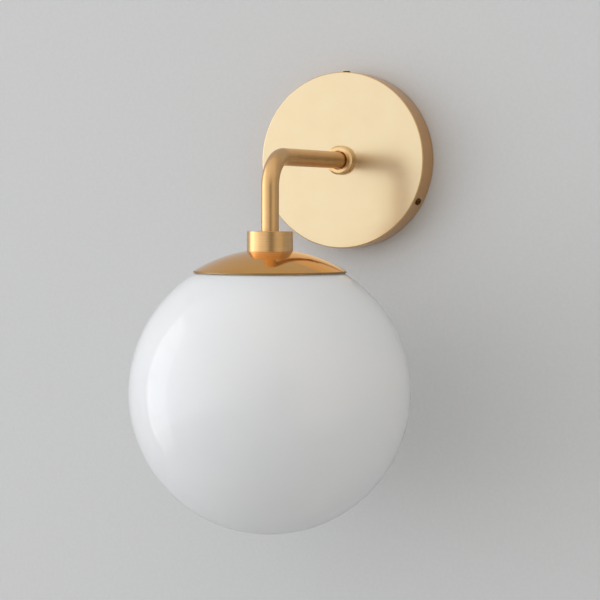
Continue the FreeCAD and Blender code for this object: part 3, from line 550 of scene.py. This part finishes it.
SATIN_PAIR = ("cca069", "d2a871")
DROP_AXIS = (0, DROP_Y, 0)
dress(canopy(), "fixture", "satin_brass", plate_brass(), "canopy")
dress(collar(), "fixture", "satin_brass",
      turned_brass("brass_collar_satin", (0, 0, 0), "Y", ("d9b37a", "dfba84"), (0.22, 0.28),
                   0.35 * MM, 0.5 * MICRON), "arm_collar")
dress(tube(), "fixture", "satin_brass",
      turned_brass("brass_tube_satin", (0, 0, 0), "Y", SATIN_PAIR, (0.29, 0.34), 0.4 * MM,
                   0.15 * MICRON), "arm_tube")
dress(cup(), "fixture", "satin_brass",
      turned_brass("brass_cup_satin", DROP_AXIS, "Z", SATIN_PAIR, (0.26, 0.31), 0.4 * MM,
                   0.25 * MICRON), "socket_cup")
dress(dish(), "fixture", "polished_brass", polished_dish(), "globe_dish")
dress(glass_ball(), "globe", "opal_glass", opal_glass(), "globe")


# ---- finishes of the pieces that stay as built ---------------------------------------------------

ZINC = zinc_plate()
BARE_BRASS = bright_turned_brass()
BLACK_MOULDING = moulded_plastic("phenolic_black", "121110", "1b1a18", (0.28, 0.38), 1.6, 0.5 * MM,
                                 4 * MICRON)

FINISHES = {
    "wall_bracket": ZINC,
    "terminal_clamp_screws": ZINC,
    "terminal_block_screws": ZINC,
    "earth_tag": ZINC,
    "canopy_lock_washer": ZINC,
    "canopy_lock_nut": ZINC,
    "cup_nut": ZINC,
    "clip_carrier": ZINC,
    "clip_rivets": ZINC,
    "socket_lock_washer": ZINC,
    "socket_lock_nut": ZINC,
    "canopy_set_screws": blackened_screw(),
    "canopy_nipple": BARE_BRASS,
    "socket_nipple": BARE_BRASS,
    "lampholder_screw_shell": BARE_BRASS,
    "lampholder_contact": BARE_BRASS,
    "lampholder_terminals": BARE_BRASS,
    "bulb_contact": BARE_BRASS,
    "globe_clip_springs": spring_strip(),
    "dish_gasket": soft_ring(),
    "terminal_block": moulded_plastic("nylon_white", "d9d8d0", "e3e2da", (0.42, 0.55), 1.53,
                                      0.4 * MM, 3 * MICRON, Subsurface_Weight=0.15,
                                      Subsurface_Scale=1.5 * MM),
    "lampholder_cap": BLACK_MOULDING,
    "lampholder_skirt": BLACK_MOULDING,
    "lampholder_insert": moulded_plastic("porcelain_unglazed", "dcd9d0", "e6e3da", (0.6, 0.75), 1.5,
                                         0.3 * MM, 10 * MICRON),
    "live_lead": moulded_plastic("sleeve_brown", "4a2210", "5a2c16", (0.3, 0.42), 1.5, 0.8 * MM,
                                 6 * MICRON),
    "neutral_lead": moulded_plastic("sleeve_blue", "1f4a8a", "2a5aa0", (0.3, 0.42), 1.5, 0.8 * MM,
                                    6 * MICRON),
    "earth_lead": moulded_plastic("sleeve_green", "2c7a34", "3a8c3c", (0.3, 0.42), 1.5, 0.8 * MM,
                                  6 * MICRON),
    "bulb_cap_insulator": moulded_plastic("glass_black", "08080a", "101012", (0.06, 0.12), 1.52,
                                          1.0 * MM, 4 * MICRON),
    "bulb_screw_cap": bulb_nickel(),
    "bulb_housing": moulded_plastic("polymer_white", "dededb", "e5e5e2", (0.3, 0.38), 1.55, 0.5 * MM,
                                    2 * MICRON),
    "bulb_led_board": led_board(),
    "bulb_diffuser": moulded_plastic("polymer_opal", "e6e6e3", "ededea", (0.32, 0.4), 1.58, 0.4 * MM,
                                     1.5 * MICRON, Subsurface_Weight=0.3, Subsurface_Scale=2 * MM),
}

for name, material in FINISHES.items():
    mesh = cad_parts[name].data
    mesh.materials.clear()
    mesh.materials.append(material)


# ---- camera --------------------------------------------------------------------------------------

CAMERA_PLACE = (618.6 * MM, -1416.0 * MM, -39.1 * MM)
CAMERA_AZIMUTH = 25.08
CAMERA_PITCH = -2.53
CAMERA_ROLL = 0.13
SENSOR_WIDTH = 36.0
PICTURE_WIDTH = 600
FOCAL_LENGTH_IN_PIXELS = 2000

bpy.ops.object.camera_add(location=CAMERA_PLACE)
camera = bpy.context.object
camera.data.sensor_width = SENSOR_WIDTH
camera.data.lens = FOCAL_LENGTH_IN_PIXELS / PICTURE_WIDTH * SENSOR_WIDTH
camera.matrix_world = (Matrix.Translation(CAMERA_PLACE)
                       @ Matrix.Rotation(math.radians(CAMERA_AZIMUTH), 4, "Z")
                       @ Matrix.Rotation(math.radians(90 + CAMERA_PITCH), 4, "X")
                       @ Matrix.Rotation(math.radians(CAMERA_ROLL), 4, "Z"))
bpy.context.scene.camera = camera


# ---- room ----------------------------------------------------------------------------------------

def one_sided(tree, surface):
    """Lets the rays that reach a backdrop from behind pass it."""
    geometry = add(tree, "ShaderNodeNewGeometry")
    clear = add(tree, "ShaderNodeBsdfTransparent")
    show_mix(tree, geometry.outputs["Backfacing"], surface, clear.outputs[0])


def wall_paint():
    """Matt emulsion rolled on plaster: a pale grey with the roller's low, soft stipple."""
    material, tree, shader = new_finish("paint_rolled", Roughness=0.85)
    stipple = noise(tree, object_coordinates(tree), 2.6 * MM, 3.0)
    connect(tree, shader, Base_Color=tint(tree, spread(tree, stipple, 0, 1), "c6c6c6", "c9c9c8"))
    relief(tree, shader, stipple, 60 * MICRON)
    one_sided(tree, shader.outputs[0])
    return material


WALL_GAP = 0.4 * MM
WALL_OPENING = 60 * MM
WALL_REACH = 6.0
FLOOR_LEVEL = -2.4

paint = wall_paint()
bpy.ops.object.select_all(action="DESELECT")
bpy.ops.mesh.primitive_circle_add(vertices=96, radius=WALL_OPENING, location=(0, WALL_GAP, 0),
                                  rotation=(math.radians(90), 0, 0))
wall = begin_piece("backdrop_wall")
bpy.ops.mesh.extrude_region_move(TRANSFORM_OT_translate={"value": (0, 0, 0)})
bpy.ops.transform.resize(value=(WALL_REACH / WALL_OPENING,) * 3, center_override=(0, WALL_GAP, 0))
bpy.ops.object.mode_set(mode="OBJECT")
settle(wall)
wall.data.materials.append(paint)
bpy.ops.mesh.primitive_plane_add(size=2 * WALL_REACH, location=(0, -WALL_REACH, FLOOR_LEVEL))
floor = bpy.context.object
floor.name = "backdrop_floor"
settle(floor)
floor.data.materials.append(paint)


# ---- light ---------------------------------------------------------------------------------------

PANE_ROWS = 4
PANE_HEIGHT = 0.52
PANE_PITCH = 0.56
WINDOW_X = -1.6
WINDOW_NEAR_Y = -0.22
WINDOW_WIDTH = 0.75
WINDOW_LOW_Z = -1.10
PANE_RADIANCE = 1.1


def window_lights():
    """Four glazed panes one above another in the wall on the left, as one tall soft light."""
    for row in range(PANE_ROWS):
        place = (WINDOW_X, WINDOW_NEAR_Y - WINDOW_WIDTH / 2,
                 WINDOW_LOW_Z + PANE_PITCH * row + PANE_HEIGHT / 2)
        bpy.ops.object.light_add(type="AREA", location=place, rotation=(0, math.radians(-90), 0))
        light = bpy.context.object
        light.name = f"window_pane_{row + 1}"
        light.data.shape = "RECTANGLE"
        light.data.size = PANE_HEIGHT
        light.data.size_y = WINDOW_WIDTH
        light.data.energy = PANE_RADIANCE * math.pi * PANE_HEIGHT * WINDOW_WIDTH
        light.data.color = (0.97, 0.985, 1.0)
        light.visible_camera = False


# Directions from the part into the room, and strengths. Near a strength of 1 a matt colour shows about
# as it is written.
WINDOW_SIDE = (-0.874, -0.486, 0.0)
ROOM_LEVEL = 1.05
ROOM_SLOPE = 0.25
WINDOW_GLOW = 1.1
WINDOW_GLOW_NARROWNESS = 9.0
DOORWAY = (0.53, -0.85, 0.0)
DOORWAY_DIMS = 0.85
DOORWAY_NARROWNESS = 20.0


def room_light():
    """The pale room: its walls get brighter towards the windows on the left, and a dim doorway on the
    right in front is what the brass mirrors darkly."""
    world = bpy.data.worlds.new("room")
    bpy.context.scene.world = world
    world.use_nodes = True
    tree = world.node_tree
    tree.nodes.clear()
    direction = add(tree, "ShaderNodeTexCoord").outputs["Generated"]

    def agreement(place):
        return add(tree, "ShaderNodeVectorMath", {"operation": "DOT_PRODUCT"},
                   {0: direction, 1: place}).outputs["Value"]

    def calculate(operation, *values):
        return add(tree, "ShaderNodeMath", {"operation": operation},
                   dict(enumerate(values))).outputs[0]

    def soft_area(agreeing, narrowness):
        """1 in the middle of a soft round area, falling to 0 around it."""
        beside = calculate("SUBTRACT", agreeing, 1.0)
        return calculate("EXPONENT", calculate("MULTIPLY", beside, narrowness))

    side = agreement(WINDOW_SIDE)
    walls = calculate("MULTIPLY_ADD", side, ROOM_SLOPE, ROOM_LEVEL)
    glow = calculate("MULTIPLY_ADD", soft_area(side, WINDOW_GLOW_NARROWNESS), WINDOW_GLOW, walls)
    kept = calculate("MULTIPLY_ADD", soft_area(agreement(DOORWAY), DOORWAY_NARROWNESS),
                     -DOORWAY_DIMS, 1.0)
    colour = tint(tree, calculate("MULTIPLY_ADD", side, 0.5, 0.5), "fff9ee", "f7faff")
    background = add(tree, "ShaderNodeBackground", None,
                     {"Color": colour, "Strength": calculate("MULTIPLY", glow, kept)})
    output = add(tree, "ShaderNodeOutputWorld")
    tree.links.new(background.outputs[0], output.inputs["Surface"])


window_lights()
room_light()
bpy.context.scene.view_settings.view_transform = "Standard"
